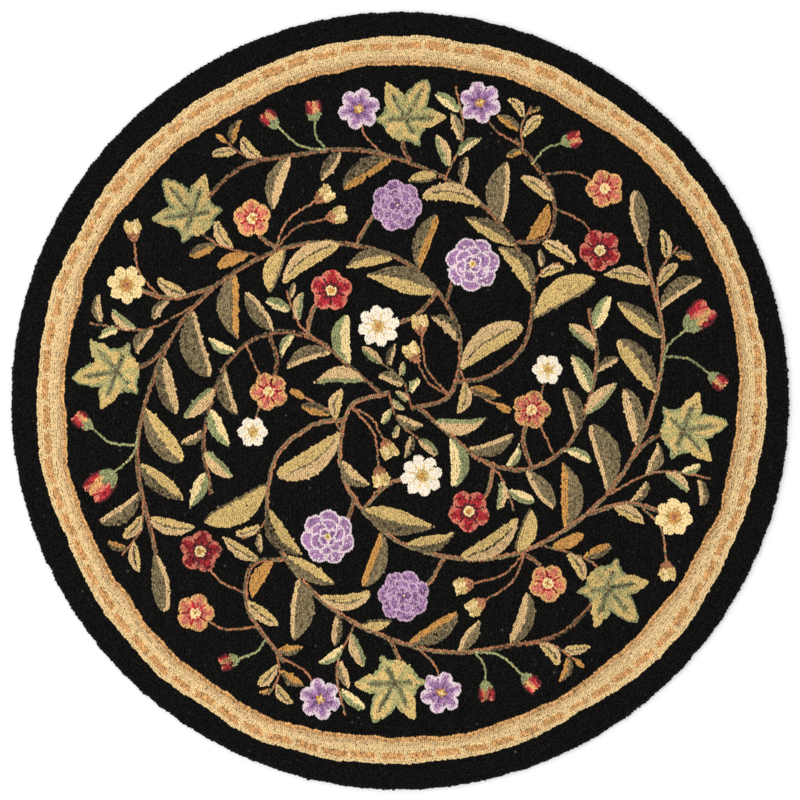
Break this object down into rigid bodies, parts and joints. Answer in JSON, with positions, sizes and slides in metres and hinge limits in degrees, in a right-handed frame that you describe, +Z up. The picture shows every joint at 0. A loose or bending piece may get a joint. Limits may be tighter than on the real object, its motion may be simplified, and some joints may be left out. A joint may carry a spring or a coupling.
{
  "type": "round hooked rug",
  "caption": "Round hooked wool rug, flat, with a rolled black rim, a gold dashed border and a flowering branch field on black.",
  "frame": {"origin": "on the floor under the middle of the rug", "axes": "+Z up out of the pile, +Y towards the top of the design, +X to its right"},
  "size_m": [1.2206, 1.221, 0.009],
  "materials": {
    "hooked_wool": "hooked wool loops, matte, mostly black with a gold border"
  },
  "bodies": {
    "root": {"hooked_rug": "hooked_wool"}
  },
  "joints": []
}
